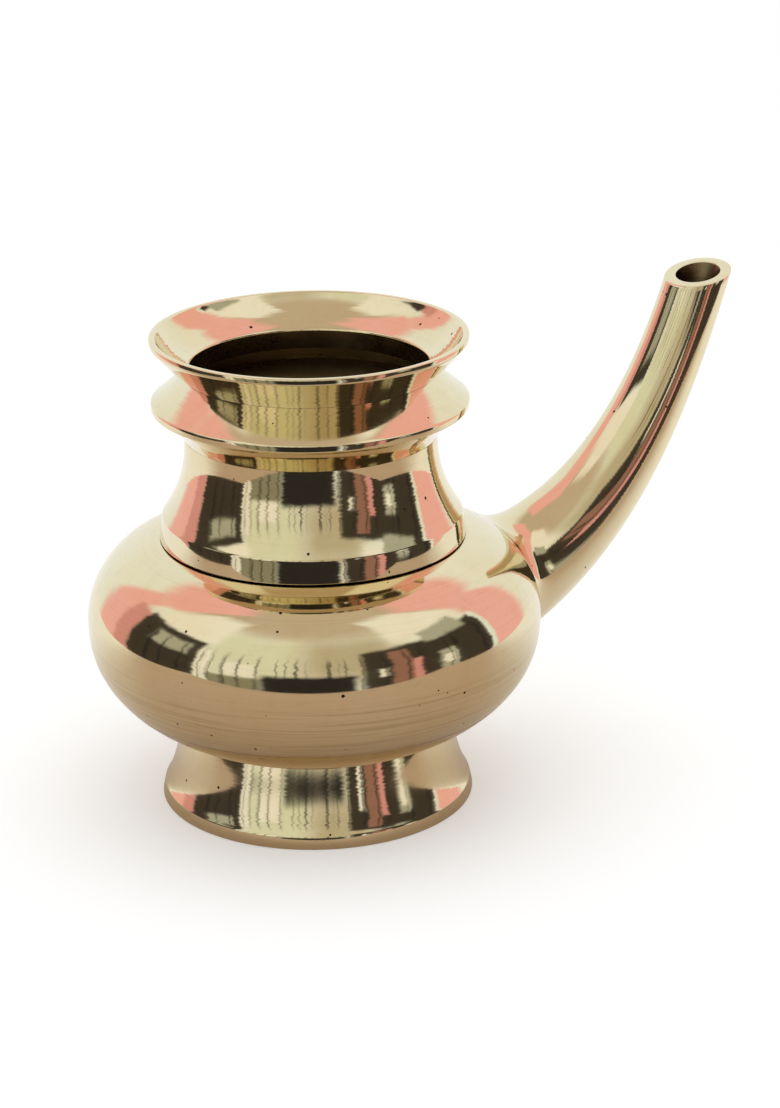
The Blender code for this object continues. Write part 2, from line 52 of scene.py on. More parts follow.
# Axis and main sizes that the frame gives; the spout's hole shortens the body's box along X
RIM_LOW, RIM_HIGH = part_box("mouth_rim")
AXIS = Vector(((RIM_LOW[0] + RIM_HIGH[0]) / 2, 0.0, 0.0))
BELLY_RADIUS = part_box("upper_body")[1][1]
RIM_TOP_HEIGHT = RIM_HIGH[2]

# Fineness of the meshes
TURN_SEGMENTS = 240
SPOUT_SIDES = 160
ROOT_STATIONS = 36
HORN_STATIONS = 90
BORE_STATIONS = 40
SEAT_RINGS = 4
CORNER_STEPS = 4
CURVE_STEPS = 30
FLARE_STEPS = 40
LINING_STEPS = 12
NECK_STEPS = 50
BOWL_STEPS = 60
UPPER_STEPS = (16, 30, 40)
SOLVE_STEPS = 26
SLOPE_STEP = 0.05 * MM
MERGE_DISTANCE = 0.002 * MM
SHARP_ANGLE = math.radians(40)
SEAM_GAP = 0.05 * MM
BLEND_GAP = 0.012 * MM
JOINT_GAP = 0.3 * MM

# Foot
FOOT_RADIUS = 45.3 * MM
FOOT_BAND_HEIGHT = 3.6 * MM
FOOT_BAND_INSET = 0.75 * MM
FOOT_WAIST_RADIUS = 39.3 * MM
FOOT_FLARE_HEIGHT = 10.6 * MM
FOOT_FLARE_BULGE = -0.09
FOOT_EDGE_LEAN = math.radians(35)
FOOT_TOP_LEAN = math.radians(15)
FOOT_EDGE_PULL = 5.0 * MM
FOOT_TOP_PULL = 7.0 * MM
FOOT_TOP_RADIUS = 38.7 * MM
FOOT_WALL = 2.6 * MM
FOOT_BASE_WIDTH = 3.6 * MM
FOOT_BASE_EASE = 0.5 * MM
FOOT_EDGE_EASE = 0.3 * MM

# Body
BELLY_HEIGHT = 54.2 * MM
BOWL_DEPTH = 38.4 * MM
BOWL_FULLNESS = 2.21
SHOULDER_CREST = 34.7 * MM
SHOULDER_FULLNESS = 2.16
SHOULDER_BREAK_INSET = 7.0 * MM
SEAT_HEIGHT = 78.3 * MM
SHOULDER_SEAT_SLOPE = math.radians(15.5)
BODY_WALL = 2.4 * MM
SEAM_DROP = 21.0 * MM
SEAM_SKIRT = 1.4 * MM
SEAM_LIP = 1.2 * MM
SEAM_LAP = 3.0 * MM
SEAM_HEIGHT = BELLY_HEIGHT - SEAM_DROP

# Neck
NECK_BAND_RADIUS = 43.6 * MM
NECK_BAND_TOP_INSET = 0.85 * MM
NECK_FOOT_HEIGHT = 85.5 * MM
NECK_TOP_HEIGHT = 108.7 * MM
NECK_SPIGOT_RADIUS = 40.6 * MM
NECK_SPIGOT_DROP = 6.5 * MM
UNDERCUT_HEIGHT = 0.45 * MM
UNDERCUT_DEPTH = 2.0 * MM
NECK_FOOT_EASE = 0.3 * MM
NECK_BAND_EASE = 0.35 * MM
NECK_WAIST_RADIUS = 35.9 * MM
NECK_BULGE = -0.175
THROAT_WALL = 2.4 * MM
THROAT_RADIUS = NECK_WAIST_RADIUS - THROAT_WALL
LAP_INSET = 1.1 * MM
LAP_RADIUS = NECK_WAIST_RADIUS - LAP_INSET
LAP_HEIGHT = 3.5 * MM

# Flange and mouth rim
FLANGE_RADIUS = 44.8 * MM
FLANGE_LOW_HEIGHT = 117.0 * MM
FLANGE_HIGH_HEIGHT = 118.9 * MM
FLANGE_UNDERSIDE_BULGE = -0.146
FLANGE_TOP_BULGE = -0.04
FLANGE_EDGE_WALL = 3.8 * MM
FLANGE_EASE = 0.35 * MM
RIM_FOOT_HEIGHT = 126.8 * MM
RIM_RADIUS = 44.8 * MM
RIM_EDGE_HEIGHT = 136.0 * MM
RIM_EDGE_WIDTH = 1.7 * MM
RIM_BULGE = 0.05
RIM_EDGE_EASE = 0.3 * MM
RIM_CROWN_EASE = 0.55 * MM
RIM_LIP_EASE = 0.35 * MM
THROAT_EASE = 0.6 * MM
FUNNEL_DEPTH = 8.6 * MM
FUNNEL_BULGE = -0.18

# Spout
SPOUT_ROOT_DROP = 2.1 * MM
SPOUT_ROOT_DEPTH = 3.9 * MM
SPOUT_ROOT_ELEVATION = math.radians(17.35)
SPOUT_ROOT_PULL = 43.8 * MM
SPOUT_RUN = 73.3 * MM
SPOUT_CLIMB = 91.75 * MM
SPOUT_TIP_LEAN = math.radians(18.0)
SPOUT_TIP_PULL = 40.5 * MM
SPOUT_ROOT_RADIUS = 17.8 * MM
SPOUT_TIP_RADIUS = 9.35 * MM
SPOUT_TAPER = 2.3
SPOUT_ROOT_BORE = 8.0 * MM
SPOUT_TIP_BORE = 6.15 * MM
SPOUT_TRIM = 8.1 * MM
TIP_CUT_RISE = math.radians(9.1)
TIP_CUT_LEAN = math.radians(6.5)
SPIGOT_RADIUS = 9.5 * MM
SPIGOT_REACH = 3.0 * MM
TIP_EDGE = 0.5 * MM
TIP_BACK = 0.004
TIP_EASE_SHARE = 5
DRILL_REACH = 2 * SPOUT_ROOT_RADIUS
BLEND_UP = 6.0 * MM
BLEND_UP_SWING = 5.0 * MM
BLEND_OUT = 1.5 * MM
BLEND_OUT_SWING = 4.5 * MM

# Places along the spout's centre line, where its curve runs from 0 at the root to 1 at its end
CURVE_LIMITS = (-0.4, 1.2)
CURVE_PLACES = 801
CURVE_STEP = 0.001
FILLET_SEARCH = (-0.3, 0.4)
TIP_SEARCH = (0.7, 1.2)
ROOT_SEARCH = 40 * MM

# Camera, fitted to the photograph's 780 x 1108 frame
IMAGE_HEIGHT = 1108
IMAGE_MIDDLE = (390.0, 554.0)
AIM_PIXEL = (313.57, 560.06)
AIM_HEIGHT = 70.0 * MM
CAMERA_ELEVATION = math.radians(20.295)
CAMERA_TURN = math.radians(28.0)
CAMERA_DISTANCE = 0.90826
CAMERA_ROLL = -0.02058
FOCAL_PIXELS = 3174.0
SENSOR = 36.0

# Floor
FLOOR_SIDE = 0.45
FLOOR_FRONT = 0.25
FLOOR_BACK = 0.60
FLOOR_WARM = (0.55, 0.43, 0.35)
WARM_DEPTH = (-0.06, 0.14)
FLOOR_GLOW = 0.12

# Studio colours, and the panels that the metal mirrors. A panel spans degrees round from the
# camera's side, positive towards the spout, and degrees above the level, with soft edges.
WHITE = (1.0, 1.0, 1.0)
PAPER = (0.90, 0.98, 1.0)
BEIGE = (0.62, 0.52, 0.43)
GLOW = (0.82, 0.86, 0.74)
SAND = (0.58, 0.52, 0.40)
SALMON = (1.0, 0.54, 0.57)
DEEP_SALMON = (0.76, 0.36, 0.38)
DARK = (0.06, 0.05, 0.042)
NIGHT = (0.03, 0.027, 0.027)
MAROON = (0.34, 0.18, 0.15)
GREY = (0.48, 0.49, 0.44)
OLIVE = (0.30, 0.29, 0.22)
STUDIO = [
    ((-190, 190), (52, 100), 10, BEIGE),
    ((-62, -8), (0, 50), 7, GLOW),
    ((-8, 45), (0, 52), 14, SAND),
    ((-98, -57), (33, 64), 5, WHITE),
    ((44, 97), (38, 72), 5, WHITE),
    ((-158, -106), (43, 72), 4, SALMON),
    ((-136, -113), (-30, 45), 4, SALMON),
    ((100, 160), (42, 68), 4, SALMON),
    ((98, 128), (-30, 46), 4, SALMON),
    ((-118, -105), (-30, 30), 2, DEEP_SALMON),
    ((-106, -62), (-40, 33), 1.5, DARK),
    ((-93, -68), (14, 27), 2, GREY),
    ((-62, -55), (-40, 27), 1, WHITE),
    ((-46, -30), (1, 18), 2, WHITE),
    ((-55, -27), (-40, 0), 2, OLIVE),
    ((-27, 20), (-40, 5), 3, NIGHT),
    ((24, 98), (-40, 33), 2, DARK),
    ((38, 49), (-40, 29), 1, MAROON),
    ((49, 54), (-40, 14), 1, DEEP_SALMON),
    ((62, 90), (28, 41), 2, GREY),
    ((64, 76), (-8, 14), 2, GREY),
    ((66, 72), (-2, 7), 1, WHITE),
    ((31, 36), (-2, 9), 1, WHITE),
    ((97, 101), (-40, 34), 1, PAPER),
]

# Thin upright dark stripes in the front half, in degrees
STRIPES = 14.0
STRIPE_TOP = 34.0
STRIPE_FADE = 15.0
STRIPE_SPAN = (0.52, 0.60)
STRIPE_LEFT = (-104, -96)
STRIPE_RIGHT = (104, 96)
STRIPE_SHARE = 0.8

# Unevenness of the panels' edges and of the white between them
SWAY_SCALE = 7.0
SWAY = math.radians(5)
PAPER_SCALE = 3.0

# Finishes
PIT_COLOUR = (0.05, 0.035, 0.025)
PIT_DEPTH = 60e-6
PIT_CELL = 3.0 * MM
PIT_SIZE = 0.5 * MM
PIT_LEAST = 0.06
PIT_GRAIN = 2500.0
PIT_RAGGED = 0.08
PIT_ROUGHNESS = 0.5
SATIN_FADE = 6.0 * MM
CHATTER_LINES = 1300.0
SATIN_LINES = (1500.0, 22.0)

# Noise in the finishes: waves per metre, and the part of the noise that a tone fades over
DRIFT_SCALE = 30.0
DRIFT_SPAN = (0.3, 0.7)
MOTTLE_SCALE = 260.0
MOTTLE_SPAN = (0.45, 0.8)
MOTTLE_SHARE = 0.35
STREAK_SPAN = (0.5, 0.75)
SCRATCH_SPAN = (0.48, 0.70)
SMUDGE_SCALE = 60.0
SMUDGE_SPAN = (0.35, 0.75)
DENT_SCALE = 70.0

# Plane curves of (radius, height) points

def bowed(start, end, bulge, steps):
    """Points from start to end, bowed sideways by bulge times the chord."""
    start = np.array(start)
    end = np.array(end)
    run = end - start
    pull = (start + end) / 2 + bulge * np.array((run[1], -run[0]))
    values = np.linspace(0.0, 1.0, steps + 1)
    return [tuple((1 - t) ** 2 * start + 2 * t * (1 - t) * pull + t * t * end) for t in values]


def cubic(start, first, second, end, t):
    """Point on a cubic curve given by its two ends and two handles."""
    u = 1 - t
    return u ** 3 * start + 3 * u * u * t * first + 3 * u * t * t * second + t ** 3 * end


def ellipse_radius(rise, half_height, fullness):
    """Radius of the belly at a height above or below its widest line."""
    share = min(abs(rise) / half_height, 1.0)
    return BELLY_RADIUS * (1 - share ** fullness) ** (1 / fullness)


def ellipse_rise(radius, half_height, fullness):
    """Height above or below the widest line at which the belly has this radius."""
    return half_height * (1 - (radius / BELLY_RADIUS) ** fullness) ** (1 / fullness)


def shoulder_sweep(steps):
    """The flatter part of the shoulder, from the end of the round belly to the neck seat."""
    radius = BELLY_RADIUS - SHOULDER_BREAK_INSET
    climb = ellipse_rise(radius - SLOPE_STEP, SHOULDER_CREST, SHOULDER_FULLNESS)
    climb -= ellipse_rise(radius + SLOPE_STEP, SHOULDER_CREST, SHOULDER_FULLNESS)
    leaving = np.array((-2 * SLOPE_STEP, climb)) / math.hypot(2 * SLOPE_STEP, climb)
    rise = ellipse_rise(radius, SHOULDER_CREST, SHOULDER_FULLNESS)
    start = np.array((radius, BELLY_HEIGHT + rise))
    end = np.array((NECK_BAND_RADIUS, SEAT_HEIGHT))
    pull = np.linalg.norm(end - start) / 3
    arrival = np.array((-math.cos(SHOULDER_SEAT_SLOPE), math.sin(SHOULDER_SEAT_SLOPE)))
    first = start + pull * leaving
    second = end - pull * arrival
    return [tuple(cubic(start, first, second, end, t)) for t in np.linspace(0.0, 1.0, steps + 1)]


def bowl_outline(steps):
    """Outside of the lower bowl, from its middle to the seam."""
    seam_turn = math.acos((ellipse_radius(SEAM_DROP, BOWL_DEPTH, BOWL_FULLNESS) / BELLY_RADIUS)
                          ** (BOWL_FULLNESS / 2))
    points = []
    for turn in np.linspace(math.pi / 2, seam_turn, steps + 1):
        radius = BELLY_RADIUS * max(math.cos(turn), 0.0) ** (2 / BOWL_FULLNESS)
        points.append((radius, BELLY_HEIGHT - BOWL_DEPTH * math.sin(turn) ** (2 / BOWL_FULLNESS)))
    points[0] = (0.0, points[0][1])
    return points


def upper_outline(low_steps, high_steps, sweep_steps):
    """Outside of the upper body, from the seam over the belly and shoulder to the neck seat."""
    points = []
    for drop in np.linspace(SEAM_DROP, 0.0, low_steps + 1)[:-1]:
        points.append((ellipse_radius(drop, BOWL_DEPTH, BOWL_FULLNESS), BELLY_HEIGHT - drop))
    break_rise = ellipse_rise(BELLY_RADIUS - SHOULDER_BREAK_INSET, SHOULDER_CREST, SHOULDER_FULLNESS)
    for rise in np.linspace(0.0, break_rise, high_steps + 1)[:-1]:
        points.append((ellipse_radius(rise, SHOULDER_CREST, SHOULDER_FULLNESS), BELLY_HEIGHT + rise))
    return points + shoulder_sweep(sweep_steps)


def inset(points, wall):
    """The same curve moved inward by a wall, for curves that run upward on the outer side."""
    path = np.array(points)
    run = np.gradient(path, axis=0)
    run /= np.linalg.norm(run, axis=1)[:, None]
    return [tuple(point) for point in path + wall * np.column_stack((-run[:, 1], run[:, 0]))]


def rounded(before, corner, after, radius):
    """A corner of a section, eased into a small curve."""
    corner = np.array(corner)
    back = np.array(before) - corner
    ahead = np.array(after) - corner
    start = corner + back / np.linalg.norm(back) * radius
    end = corner + ahead / np.linalg.norm(ahead) * radius
    values = np.linspace(0.0, 1.0, CORNER_STEPS + 1)
    return [tuple((1 - t) ** 2 * start + 2 * t * (1 - t) * corner + t * t * end) for t in values]


def stand_off(outline, radius, height):
    """Signed distance of a point from an outline that runs upward, positive outside it."""
    start = outline[:-1]
    run = outline[1:] - start
    to_point = np.array((radius, height)) - start
    share = np.clip((to_point * run).sum(axis=1) / (run * run).sum(axis=1), 0.0, 1.0)
    distance = np.linalg.norm(to_point - share[:, None] * run, axis=1)
    near = int(distance.argmin())
    side = to_point[near][0] * run[near][1] - to_point[near][1] * run[near][0]
    return math.copysign(distance[near], side)


def solve(function, low, high):
    """Where a rising function crosses zero, found by halving."""
    for _ in range(SOLVE_STEPS):
        middle = (low + high) / 2
        if function(middle) < 0:
            low = middle
        else:
            high = middle
    return (low + high) / 2


BODY_OUTLINE = np.array(bowl_outline(BOWL_STEPS)[:-1] + upper_outline(*UPPER_STEPS))
BODY_LINING = np.array(inset(BODY_OUTLINE, BODY_WALL))


# Spout curves; x is measured from the vessel axis

def radius_at(outline, height):
    """Radius of a rising outline at a height."""
    return float(np.interp(height, outline[:, 1], outline[:, 0]))


ROOT_HEIGHT = BELLY_HEIGHT - SPOUT_ROOT_DROP
SPOUT_ROOT = np.array((radius_at(BODY_OUTLINE, ROOT_HEIGHT) - SPOUT_ROOT_DEPTH, ROOT_HEIGHT))
SPOUT_END = SPOUT_ROOT + np.array((SPOUT_RUN, SPOUT_CLIMB))
ROOT_WAY = np.array((math.cos(SPOUT_ROOT_ELEVATION), math.sin(SPOUT_ROOT_ELEVATION)))
TIP_WAY = np.array((math.sin(SPOUT_TIP_LEAN), math.cos(SPOUT_TIP_LEAN)))
SPOUT_FIRST = SPOUT_ROOT + SPOUT_ROOT_PULL * ROOT_WAY
SPOUT_SECOND = SPOUT_END - SPOUT_TIP_PULL * TIP_WAY


def spout_centre(t):
    """Point (x, z) on the spout's centre line."""
    return cubic(SPOUT_ROOT, SPOUT_FIRST, SPOUT_SECOND, SPOUT_END, t)


SPOUT_VALUES = np.linspace(*CURVE_LIMITS, CURVE_PLACES)
SPOUT_PLACES = np.array([spout_centre(t) for t in SPOUT_VALUES])
SPOUT_STEPS = np.linalg.norm(np.diff(SPOUT_PLACES, axis=0), axis=1)
SPOUT_LENGTHS = np.concatenate(([0.0], np.cumsum(SPOUT_STEPS)))
SPOUT_LENGTHS -= np.interp(0.0, SPOUT_VALUES, SPOUT_LENGTHS)


def spout_along(t):
    """Direction (x, z) of the spout's centre line."""
    run = spout_centre(t + CURVE_STEP) - spout_centre(t - CURVE_STEP)
    return run / np.linalg.norm(run)


def spout_value(length):
    """Curve value at a length along the centre line."""
    return float(np.interp(length, SPOUT_LENGTHS, SPOUT_VALUES))


def spout_length(t):
    """Length along the centre line at a curve value, negative below the root."""
    return float(np.interp(t, SPOUT_VALUES, SPOUT_LENGTHS))


TIP_VALUE = spout_value(spout_length(1.0) - SPOUT_TRIM)


def spout_radius(t):
    """Outer radius of the plain horn."""
    remaining = 1 - min(max(t, 0.0), 1.0)
    return SPOUT_TIP_RADIUS + (SPOUT_ROOT_RADIUS - SPOUT_TIP_RADIUS) * remaining ** SPOUT_TAPER


def bore_radius(t):
    """Radius of the bore, which narrows from the root to the tip."""
    return SPOUT_ROOT_BORE + (SPOUT_TIP_BORE - SPOUT_ROOT_BORE) * t / TIP_VALUE


def around_spout(t, angle, radius):
    """Point beside the centre line; angle 0 is the upper side."""
    centre = spout_centre(t)
    along = spout_along(t)
    up = radius * math.cos(angle)
    return Vector((centre[0] - up * along[1], radius * math.sin(angle), centre[1] + up * along[0]))


def around_root(length, angle, radius):
    """Point beside the straight line that carries the spigot into the belly."""
    along = spout_along(0.0)
    centre = SPOUT_ROOT + length * along
    up = radius * math.cos(angle)
    return Vector((centre[0] - up * along[1], radius * math.sin(angle), centre[1] + up * along[0]))


def off_body(point, outline):
    """Distance of a point in space from a turned outline."""
    return stand_off(outline, math.hypot(point.x, point.y), point.z)


def blend_up(angle):
    """How far the root's fillet climbs the horn: most on its upper side."""
    return BLEND_UP + BLEND_UP_SWING * (1 + math.cos(angle)) / 2


def blend_out(angle):
    """How far the root's fillet spreads over the body: most above the horn."""
    return BLEND_OUT + BLEND_OUT_SWING * (1 + math.cos(angle)) / 2


def root_field(t, angle, radius):
    """Negative inside the body and the horn joined by the fillet, positive outside them."""
    off = (off_body(around_spout(t, angle, radius), BODY_OUTLINE) - BLEND_GAP) / blend_up(angle)
    side = (radius - spout_radius(t)) / blend_out(angle)
    near = max(0.0, 1 - abs(off - side))
    return min(off, side) - near ** 2 / 4


def fillet_edge(angle, out, up):
    """Curve value where a line, some way out from the horn, stands some way off the body."""
    def above_body(t):
        return off_body(around_spout(t, angle, spout_radius(t) + out), BODY_OUTLINE) - BLEND_GAP - up

    return solve(above_body, *FILLET_SEARCH)


def fillet_end(angle):
    """Curve value where the fillet runs out on the horn."""
    return fillet_edge(angle, 0.0, blend_up(angle))


def horn_radius(t, angle):
    """Outer radius of the horn with the fillet at its root."""
    tube = spout_radius(t)
    reach = blend_out(angle)
    return solve(lambda radius: root_field(t, angle, radius), tube - reach, tube + reach)


def root_length(angle, radius, outline, gap):
    """Length along the root line where a cylinder about it stands a gap off a turned outline."""
    def above_outline(length):
        return off_body(around_root(length, angle, radius), outline) - gap

    return solve(above_outline, -ROOT_SEARCH, ROOT_SEARCH)


def tip_value(angle, radius_function):
    """Curve value where a line along the spout meets the slanted cut of the tip."""
    middle = spout_centre(TIP_VALUE)

    def above_cut(t):
        point = around_spout(t, angle, radius_function(t))
        rise = (point.x - middle[0]) * math.tan(TIP_CUT_RISE) + point.y * math.tan(TIP_CUT_LEAN)
        return point.z - middle[1] - rise

    return solve(above_cut, *TIP_SEARCH)


# Mesh builders

def add_piece(name, builder, materials, nodes):
    """Make a piece from a bmesh about the vessel axis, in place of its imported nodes."""
    bmesh.ops.remove_doubles(builder, verts=builder.verts, dist=MERGE_DISTANCE)
    bmesh.ops.recalc_face_normals(builder, faces=builder.faces)
    mesh = bpy.data.meshes.new(name)
    builder.to_mesh(mesh)
    builder.free()
    mesh.shade_smooth()
    mesh.set_sharp_from_angle(angle=SHARP_ANGLE)
    for material in materials:
        mesh.materials.append(material)
    piece = bpy.data.objects.new(name, mesh)
    piece.location = AXIS
    bpy.context.scene.collection.objects.link(piece)
    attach(piece, "root")
    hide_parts(*nodes)
    return piece


def skin(builder, rings, lengths, hollow, outer_rows=None):
    """Join rings of points; the uv map holds the turn and the length along the section.

    Faces past the outer rows take the second material.
    """
    uv = builder.loops.layers.uv.new("finish")
    loops = [[builder.verts.new(point) for point in ring] for ring in rings]
    count = len(rings[0])
    pairs = [(row, row + 1) for row in range(len(rings) - 1)]
    if hollow:
        pairs.append((len(rings) - 1, 0))
    for low, high in pairs:
        inner = outer_rows is not None and low >= outer_rows - 1
        for side in range(count):
            following = (side + 1) % count
            corners = ((low, side), (low, side + 1), (high, side + 1), (high, side))
            face = builder.faces.new((loops[low][side], loops[low][following],
                                      loops[high][following], loops[high][side]))
            face.material_index = 1 if inner else 0
            for loop, (row, turn) in zip(face.loops, corners):
                loop[uv].uv = (turn / count, lengths[row])
    if not hollow:
        builder.faces.new(loops[0])
        builder.faces.new(loops[-1])


def turned(name, outer, inner, materials, node, closed=True):
    """Turn a section, given as its outer and its inner points, about the vessel axis."""
    section = outer + inner
    path = np.array(section)
    steps = np.linalg.norm(np.diff(path, axis=0), axis=1)
    lengths = np.concatenate(([0.0], np.cumsum(steps)))
    turns = [2 * math.pi * side / TURN_SEGMENTS for side in range(TURN_SEGMENTS)]
    rings = []
    for radius, height in section:
        rings.append([(radius * math.cos(turn), radius * math.sin(turn), height) for turn in turns])
    builder = bmesh.new()
    skin(builder, rings, lengths, hollow=closed, outer_rows=len(outer))
    return add_piece(name, builder, materials, [node])


# Pieces

def bowl_height(radius):
    """Height of the bowl's underside at a radius."""
    return BELLY_HEIGHT - ellipse_rise(radius, BOWL_DEPTH, BOWL_FULLNESS)


def make_foot(materials):
    """Flared foot ring with a crisp edge band."""
    base_inner = FOOT_RADIUS - FOOT_BASE_WIDTH
    waist_height = FOOT_BAND_HEIGHT + FOOT_FLARE_HEIGHT
    edge = (FOOT_RADIUS - FOOT_BAND_INSET, FOOT_BAND_HEIGHT)
    top = np.array((FOOT_TOP_RADIUS, bowl_height(FOOT_TOP_RADIUS) - SEAM_GAP))
    edge_way = np.array((-math.sin(FOOT_EDGE_LEAN), math.cos(FOOT_EDGE_LEAN)))
    top_way = np.array((-math.sin(FOOT_TOP_LEAN), math.cos(FOOT_TOP_LEAN)))
    first = np.array(edge) + FOOT_EDGE_PULL * edge_way
    second = top - FOOT_TOP_PULL * top_way
    values = np.linspace(0.0, 1.0, FLARE_STEPS + 1)
    flare = [tuple(cubic(np.array(edge), first, second, top, t)) for t in values]
    waist_inner = FOOT_WAIST_RADIUS - FOOT_WALL
    seat = []
    for radius in np.linspace(FOOT_TOP_RADIUS, waist_inner, SEAT_RINGS + 1):
        seat.append((radius, bowl_height(radius) - SEAM_GAP))
    lining = bowed((waist_inner, waist_height), (base_inner, FOOT_BAND_HEIGHT), -FOOT_FLARE_BULGE,
                   LINING_STEPS)
    base = (FOOT_RADIUS, 0.0)
    outer = [(base_inner, 0.0)]
    outer += rounded((base_inner, 0.0), base, edge, FOOT_BASE_EASE)
    outer += rounded(base, edge, flare[1], FOOT_EDGE_EASE)
    outer += flare[2:]
    return turned("foot", outer, seat[1:] + lining, materials, "foot_ring")


def make_bowl(materials):
    """Satin lower bowl, with the lip that laps into the upper body."""
    outside = bowl_outline(BOWL_STEPS)
    lining = inset(outside, BODY_WALL)
    lining[0] = (0.0, lining[0][1])
    skirt = outside[-1][0] - SEAM_SKIRT - JOINT_GAP
    lip_top = SEAM_HEIGHT + SEAM_LAP
    lip_inner = skirt - SEAM_LIP
    radii, heights = np.array(lining).T
    lip = [(skirt, SEAM_HEIGHT), (skirt, lip_top), (lip_inner, lip_top),
           (lip_inner, float(np.interp(lip_inner, radii, heights)))]
    lining = [point for point in lining if point[0] < lip_inner]
    return turned("bowl", outside, lip + lining[::-1], materials, "lower_bowl",
                  closed=False)


def make_body(materials):
    """Belly and shoulder shell, pierced for the spout."""
    outside = upper_outline(*UPPER_STEPS)
    seam = SEAM_HEIGHT + SEAM_GAP
    outside[0] = (outside[0][0], seam)
    lap_top = SEAM_HEIGHT + SEAM_LAP + JOINT_GAP
    skirt = outside[0][0] - SEAM_SKIRT
    bore = NECK_SPIGOT_RADIUS + JOINT_GAP
    lining = [tuple(point) for point in BODY_LINING if point[1] > lap_top and point[0] > bore]
    inner = [(bore, SEAT_HEIGHT), (bore, lining[-1][1])] + lining[::-1]
    inner += [(radius_at(BODY_LINING, lap_top), lap_top), (skirt, lap_top), (skirt, seam)]
    body = turned("body", outside, inner, materials, "upper_body")
    pierce(body)
    return body


def pierce(body):
    """Cut the hole for the spout's spigot through the body."""
    drill = SPIGOT_RADIUS + JOINT_GAP
    rings = []
    for length in (-DRILL_REACH, DRILL_REACH):
        rings.append([around_root(length, angle, drill) for angle in side_angles()])
    builder = bmesh.new()
    skin(builder, rings, [0.0, 1.0], hollow=False)
    bmesh.ops.recalc_face_normals(builder, faces=builder.faces)
    mesh = bpy.data.meshes.new("drill")
    builder.to_mesh(mesh)
    builder.free()
    cutter = bpy.data.objects.new("drill", mesh)
    cutter.location = AXIS
    bpy.context.scene.collection.objects.link(cutter)
    boolean = body.modifiers.new("spout_hole", "BOOLEAN")
    boolean.operation = "DIFFERENCE"
    boolean.solver = "EXACT"
    boolean.object = cutter
    bpy.context.view_layer.update()
    evaluated = body.evaluated_get(bpy.context.evaluated_depsgraph_get())
    pierced = bpy.data.meshes.new_from_object(evaluated)
    body.modifiers.clear()
    body.data = pierced
    bpy.data.objects.remove(cutter)


def make_neck(materials):
    """Waisted neck, its flat band and its spigot."""
    band_top = (NECK_BAND_RADIUS - NECK_BAND_TOP_INSET, NECK_FOOT_HEIGHT)
    outside = bowed(band_top, (NECK_WAIST_RADIUS, NECK_TOP_HEIGHT), NECK_BULGE, NECK_STEPS)
    lining = inset(outside, THROAT_WALL)
    spigot_inner = NECK_SPIGOT_RADIUS - THROAT_WALL
    lining[-1] = (THROAT_RADIUS, NECK_TOP_HEIGHT)
    lining[0] = (spigot_inner, NECK_FOOT_HEIGHT)
    lap_outer = LAP_RADIUS - JOINT_GAP
    lap_top = NECK_TOP_HEIGHT + LAP_HEIGHT
    seat = SEAT_HEIGHT + SEAM_GAP
    foot = SEAT_HEIGHT - NECK_SPIGOT_DROP
    hollow = NECK_BAND_RADIUS - UNDERCUT_DEPTH
    band_foot = (NECK_BAND_RADIUS, seat + UNDERCUT_HEIGHT)
    outer = rounded((hollow, band_foot[1]), band_foot, band_top, NECK_FOOT_EASE)
    outer += rounded(band_foot, band_top, outside[1], NECK_BAND_EASE)
    outer += outside[2:]
    inner = [(lap_outer, NECK_TOP_HEIGHT), (lap_outer, lap_top), (THROAT_RADIUS, lap_top)]
    inner += lining[::-1] + [(spigot_inner, foot), (NECK_SPIGOT_RADIUS, foot), (NECK_SPIGOT_RADIUS, seat)]
    inner += [(hollow, seat), (hollow, band_foot[1])]
    return turned("neck_piece", outer, inner, materials, "neck")


def make_flange(materials):
    """Flange ring between the neck and the mouth."""
    foot = NECK_TOP_HEIGHT + SEAM_GAP
    low = (FLANGE_RADIUS, FLANGE_LOW_HEIGHT)
    high = (FLANGE_RADIUS, FLANGE_HIGH_HEIGHT)
    underside = bowed((NECK_WAIST_RADIUS, foot), low, FLANGE_UNDERSIDE_BULGE, CURVE_STEPS)
    top = bowed(high, (NECK_WAIST_RADIUS, RIM_FOOT_HEIGHT), FLANGE_TOP_BULGE, CURVE_STEPS)
    outer = underside[:-2]
    outer += rounded(underside[-2], low, high, FLANGE_EASE)
    outer += rounded(low, high, top[1], FLANGE_EASE)
    outer += top[2:]
    inner = [(LAP_RADIUS, RIM_FOOT_HEIGHT), (LAP_RADIUS, RIM_FOOT_HEIGHT - LAP_HEIGHT - JOINT_GAP),
             (FLANGE_RADIUS - FLANGE_EDGE_WALL, (FLANGE_LOW_HEIGHT + FLANGE_HIGH_HEIGHT) / 2),
             (LAP_RADIUS, foot + LAP_HEIGHT), (LAP_RADIUS, foot)]
    return turned("flange", outer, inner, materials, "collar_flange")


